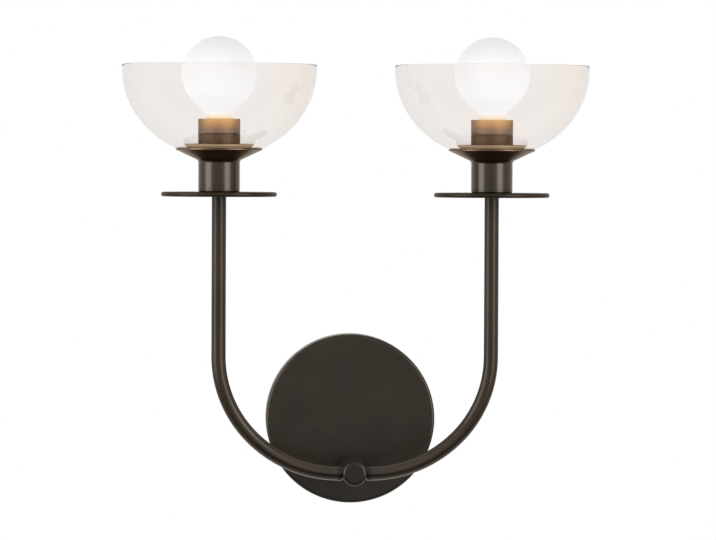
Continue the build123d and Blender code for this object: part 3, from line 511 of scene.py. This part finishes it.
# %% Sleeve
SLEEVE_FRONT = (0.3, 1.0)
FLANGE_REACH = (0.02, 0.026)  # radii where the flange's own light begins, and where it is full
FLANGE_GLOW = (0.38, 0.275, 0.18)
SLEEVE_TINT = (0.85, 0.78, 0.7)
SLEEVE_RING_PITCH = 0.0011


def lamplit_bronze(name):
    material, start, shader = finish(name)
    point, (x, y, z) = place_of(start)
    grain = noise(start, point, 700.0)
    up = start.node("ShaderNodeMapRange", None, {"Value": z, "From Min": RING_FOOT, "From Max": SLEEVE_TOP})
    # The base colour is painted lamplight over the height.
    painted_lamplight = start.node("ShaderNodeValToRGB", {"stops": SLEEVE_PAINTED_LAMPLIGHT}, {0: up})
    glow = start.node("ShaderNodeValToRGB", {"stops": SLEEVE_GLOW}, {0: up})
    radius, behind = from_lamp_axis(start, x, y)
    front = (start.sum("ABSOLUTE", behind) / radius).rise(*SLEEVE_FRONT)
    glow = (front * 0.8 + 0.2).between((0, 0, 0), glow)
    flange = radius.rise(*FLANGE_REACH) * (0.95 - front * 0.4)
    glow = flange.between(glow, FLANGE_GLOW)
    rings = start.sum("SINE", z * (2 * math.pi / SLEEVE_RING_PITCH))
    normal = bump(start, rings * 0.5 + grain, 0.35, 0.00005)
    fill(start, shader, Base_Color=painted_lamplight, Metallic=0.75, Normal=normal, Emission_Color=glow)
    fill(start, shader, Emission_Strength=1.0, Roughness=grain * 0.1 + 0.42)
    fill(start, shader, Specular_Tint=SLEEVE_TINT)
    print("sleeve", name)
    return material


finishes["bronze_socket"] = lamplit_bronze("lamplit_bronze")

# %% [markdown]
# ## The glass bowl
# The bowl is blown clear glass, open at the top. It is seen through twice, and each wall takes a
# little light away, more where the wall is looked at edge on. Principled glass with a pale warm
# tint does that by itself; a Layer Weight darkens the edges, and the right side of each bowl is
# painted a little amber, a painted warm light on that side. The index is lower than that of real
# glass, because the photograph shows hardly any bending at the outline. Light has to reach the
# lamp and the cup through the bowl, so shadow rays meet a clear surface.

# %% Glass
GLASS_CLEAR = (0.935, 0.915, 0.895)
GLASS_ROSE = (0.945, 0.9, 0.885)
GLASS_WARM_LIGHT = (0.93, 0.88, 0.83)
GLASS_EDGE = (0.72, 0.69, 0.66)
GLASS_SHADOW = (0.93, 0.92, 0.9)
GLASS_INDEX = 1.28
WARM_LIGHT_SIDE = (0.035, 0.078)  # metres to the right of the lamp's axis where amber begins, and is full


def clear_glass(name):
    material, start, shader = finish(name)
    point, (x, _, _) = place_of(start)
    swirl = noise(start, point, 26.0)
    facing = start.node("ShaderNodeLayerWeight", None, {"Blend": 0.5}, "Facing")
    # Painted warm light on the right side of each bowl: this mask, then the amber tint below.
    right = (x + start.sum("SIGN", x) * -LAMP_AXIS_X).rise(*WARM_LIGHT_SIDE)
    clear = (swirl * 0.7).between(GLASS_CLEAR, GLASS_ROSE)
    clear = (right * 0.6).between(clear, GLASS_WARM_LIGHT)
    tint = (facing**3).between(clear, GLASS_EDGE)
    fill(start, shader, Base_Color=tint, Transmission_Weight=1.0, IOR=GLASS_INDEX, Roughness=0.0)
    glass = Link(start.tree, shader.outputs[0])
    passing = start.node("ShaderNodeBsdfTransparent", None, {"Color": GLASS_SHADOW})
    show(start, start.node("ShaderNodeMixShader", None, {0: ray_is(start, "Shadow"), 1: glass, 2: passing}))
    print("glass", name)
    return material


finishes["clear_glass"] = clear_glass("blown_glass")

# %% [markdown]
# The CAD bowl is one thick wall all over, and its mesh has flat facets. A blown wall is thinner,
# and at the outline it shows as a soft line instead of a clear band. A lathe mesh in the same
# outer form does that: an ellipse for the outside, a shallower one for the inside, a rounded lip
# and a flat seat, turned round the lamp's axis in fine steps. First comes that outline.

# %% Outline of the bowl
BOWL_DEPTH = 0.0714  # from the ellipse's centre down to its lowest point
BOWL_LIP = 0.0031  # straight band above that centre
BOWL_WALL = 0.0012
BOWL_HOLE = 0.021
BOWL_SEAT = 0.005392  # height of the flat seat inside above the bowl's lowest point
SIDE_STEPS = 64
LIP_STEPS = 8
bowl_low, bowl_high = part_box("glass_bowl_left")
BOWL_RADIUS = (bowl_high[0] - bowl_low[0]) / 2
BOWL_CENTRE = bowl_high[2] - BOWL_LIP


def ellipse(radius, depth, first, last):
    """Radius and height along an ellipse, between two angles measured from its lowest point."""
    turns = [first + (last - first) * step / SIDE_STEPS for step in range(SIDE_STEPS + 1)]
    return [(radius * math.sin(turn), BOWL_CENTRE - depth * math.cos(turn)) for turn in turns]


def bowl_outline():
    """Up the outside, over the lip, down the inside and across the seat to the hole."""
    seat = bowl_low[2] + BOWL_SEAT
    half = BOWL_WALL / 2
    inner_depth = BOWL_DEPTH - BOWL_WALL
    outline = ellipse(BOWL_RADIUS, BOWL_DEPTH, math.asin(BOWL_HOLE / BOWL_RADIUS), math.pi / 2)
    for step in range(LIP_STEPS + 1):
        turn = math.pi * step / LIP_STEPS
        reach = BOWL_RADIUS - half + half * math.cos(turn)
        outline.append((reach, bowl_high[2] - half + half * math.sin(turn)))
    seat_turn = math.acos((BOWL_CENTRE - seat) / inner_depth)
    outline += ellipse(BOWL_RADIUS - BOWL_WALL, inner_depth, math.pi / 2, seat_turn)
    return [*outline, (BOWL_HOLE, seat)]


print("outline points", len(bowl_outline()), "radius", round(BOWL_RADIUS, 4))

# %% [markdown]
# The lathe turns the outline round each lamp's axis. The new bowls take the place of the CAD
# bowls and ride on the same body.

# %% Bowls
BOWL_STEPS = 256


def lathe(name, outline, axis, steps):
    """Turns a closed outline of radius and height round an upright axis, as a smooth mesh."""
    points = []
    for step in range(steps):
        turn = 2 * math.pi * step / steps
        points += [(axis[0] + r * math.cos(turn), axis[1] + r * math.sin(turn), z) for r, z in outline]
    count = len(outline)
    faces = []
    for step in range(steps):
        near, far = step * count, (step + 1) % steps * count
        for low in range(count):
            high = (low + 1) % count
            faces.append((near + low, far + low, far + high, near + high))
    mesh = bpy.data.meshes.new(name)
    mesh.from_pydata(points, [], faces)
    mesh.shade_smooth()
    piece = bpy.data.objects.new(name, mesh)
    bpy.context.scene.collection.objects.link(piece)
    print(name, "faces", len(mesh.polygons))
    return piece


bowls = []
for side, sign in (("left", -1), ("right", 1)):
    bowl = lathe(f"blown_bowl_{side}", bowl_outline(), (sign * LAMP_AXIS_X, LAMP_AXIS_Y), BOWL_STEPS)
    bowl.data.materials.append(finishes["clear_glass"])
    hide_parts(f"glass_bowl_{side}")
    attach(bowl, "wall_frame")
    bowls.append(bowl)

# %% [markdown]
# The photograph's glass mirrors no lamp: only the white backdrop lights it. Light linking does
# the same here, and the softboxes leave the two bowls out.

# %% Bowls without softboxes
left_out = bpy.data.collections.new("not_lit_by_softboxes")
for bowl in bowls:
    left_out.objects.link(bowl)
for lamp in softboxes:
    lamp.light_linking.receiver_collection = left_out
for member in left_out.collection_objects:
    member.light_linking.link_state = "EXCLUDE"

# %% [markdown]
# ## The globe of the lamp
# The globe is frosted inside and lit, so it looks like an even white ball, warm at the neck. A
# pale body with its own weak light gives that under any lamp. Its light is a little bluer behind
# the warm glass of the bowl and weaker towards the crown, which the sky lights as well.

# %% Globe
NECK_LEVEL = 0.243
GLOBE_LEVEL = 0.25
CROWN_LEVEL = 0.305
NECK_BODY = (0.38, 0.3, 0.2)
GLOBE_BODY = (0.36, 0.365, 0.365)
NECK_LIGHT = (0.6, 0.49, 0.29)
GLOBE_LIGHT = (0.64, 0.665, 0.705)
CROWN_LIGHT = (0.545, 0.545, 0.545)


def frosted_globe(name):
    material, start, shader = finish(name)
    point, (_, _, z) = place_of(start)
    grain = noise(start, point, 1500.0)
    above_neck = z.rise(NECK_LEVEL, GLOBE_LEVEL)
    light = z.rise(GLOBE_LEVEL, CROWN_LEVEL).between(GLOBE_LIGHT, CROWN_LIGHT)
    fill(start, shader, Base_Color=above_neck.between(NECK_BODY, GLOBE_BODY))
    fill(start, shader, Emission_Color=above_neck.between(NECK_LIGHT, light), Emission_Strength=1.0)
    fill(start, shader, Roughness=grain * 0.1 + 0.55, Specular_IOR_Level=0.12)
    fill(start, shader, Normal=bump(start, grain, 0.1, 0.00003))
    print("globe", name)
    return material


finishes["frosted_glass"] = frosted_globe("frosted_globe")

# %% [markdown]
# ## Small parts
# The rest is the hardware that the plate, the cups and the sockets hide, the soft rings that
# hold the glass, and what lies inside the lamp: its stem, its yellow filaments, its base of thin
# nickelled brass, the black glass insulator and the solder of the foot contact. Each gets its
# own finish with a fine grain. Plated metal shows two colours of its film in patches.


# %% Metals
def metal(name, one, other, roughness, scale=220.0, dent=0.1):
    """Plated or drawn metal: two colours in patches, and a fine grain in the roughness."""
    material, start, shader = finish(name)
    point, _ = place_of(start)
    film = noise(start, point, scale, 3.0)
    grain = noise(start, point, 2500.0)
    fill(start, shader, Base_Color=film.rise(0.35, 0.65).between(one, other), Metallic=1.0)
    fill(start, shader, Roughness=grain * 0.12 + (roughness - 0.06))
    fill(start, shader, Normal=bump(start, grain, dent, 0.00004))
    return material


finishes["zinc_steel"] = metal("zinc_yellow_film", (0.62, 0.52, 0.28), (0.6, 0.58, 0.46), 0.34)
finishes["blackened_screw"] = metal("blackened_steel", (0.02, 0.02, 0.02), (0.05, 0.045, 0.04), 0.4)
finishes["green_screw"] = metal("green_zinc", (0.03, 0.2, 0.06), (0.06, 0.3, 0.09), 0.32)
finishes["socket_metal"] = metal("zinc_bright", (0.5, 0.5, 0.49), (0.6, 0.6, 0.6), 0.3)
finishes["shell_brass"] = metal("drawn_brass", (0.72, 0.5, 0.2), (0.8, 0.6, 0.28), 0.26)
finishes["nickel_base"] = metal("nickel_plate", (0.62, 0.58, 0.52), (0.72, 0.7, 0.66), 0.24)
finishes["solder"] = metal("solder", (0.45, 0.45, 0.46), (0.62, 0.62, 0.62), 0.38, scale=900.0, dent=0.4)
print("finishes so far", len(finishes))

# %% [markdown]
# Moulded plastic, soft rings, phosphor and wire insulation have no film: one colour that the
# grain moves a little, and a gloss that says how soft the material is.


# %% Moulded pieces
def moulded(name, one, other, roughness):
    """Moulded plastic, rubber or glass: a near even colour and a fine grain."""
    material, start, shader = finish(name)
    point, _ = place_of(start)
    grain = noise(start, point, 1200.0, 3.0)
    fill(start, shader, Base_Color=grain.between(one, other), Specular_IOR_Level=0.4)
    fill(start, shader, Roughness=grain * 0.14 + (roughness - 0.07))
    fill(start, shader, Normal=bump(start, grain, 0.12, 0.00005))
    return material


finishes["socket_plastic"] = moulded("black_phenolic", (0.016, 0.015, 0.014), (0.03, 0.028, 0.026), 0.4)
finishes["silicone"] = moulded("tan_silicone", (0.4, 0.3, 0.2), (0.46, 0.35, 0.24), 0.5)
finishes["filament"] = moulded("yellow_phosphor", (0.85, 0.5, 0.08), (0.9, 0.62, 0.16), 0.6)
finishes["lamp_insulation"] = moulded("black_glass", (0.008, 0.008, 0.01), (0.016, 0.015, 0.018), 0.2)
finishes["black_lead"] = moulded("black_insulation", (0.014, 0.014, 0.014), (0.024, 0.024, 0.024), 0.45)
finishes["white_lead"] = moulded("white_insulation", (0.68, 0.68, 0.65), (0.74, 0.74, 0.71), 0.45)
finishes["splice_black"] = moulded("black_nylon", (0.015, 0.015, 0.016), (0.03, 0.03, 0.03), 0.42)
finishes["splice_white"] = moulded("white_nylon", (0.68, 0.67, 0.63), (0.76, 0.75, 0.71), 0.42)
finishes["stem_glass"] = moulded("stem_glass", (0.72, 0.74, 0.73), (0.8, 0.82, 0.81), 0.15)
print("finishes", len(finishes))

# %% [markdown]
# ## Finishes onto the solids
# Every node of the frame names the slot that its finish belongs to, so one loop dresses them all.

# %% Dress
for part in frame["record"]["subparts"]:
    node = nodes[part["node"]]
    node.data.materials.clear()
    node.data.materials.append(finishes[part["material_slot"]])
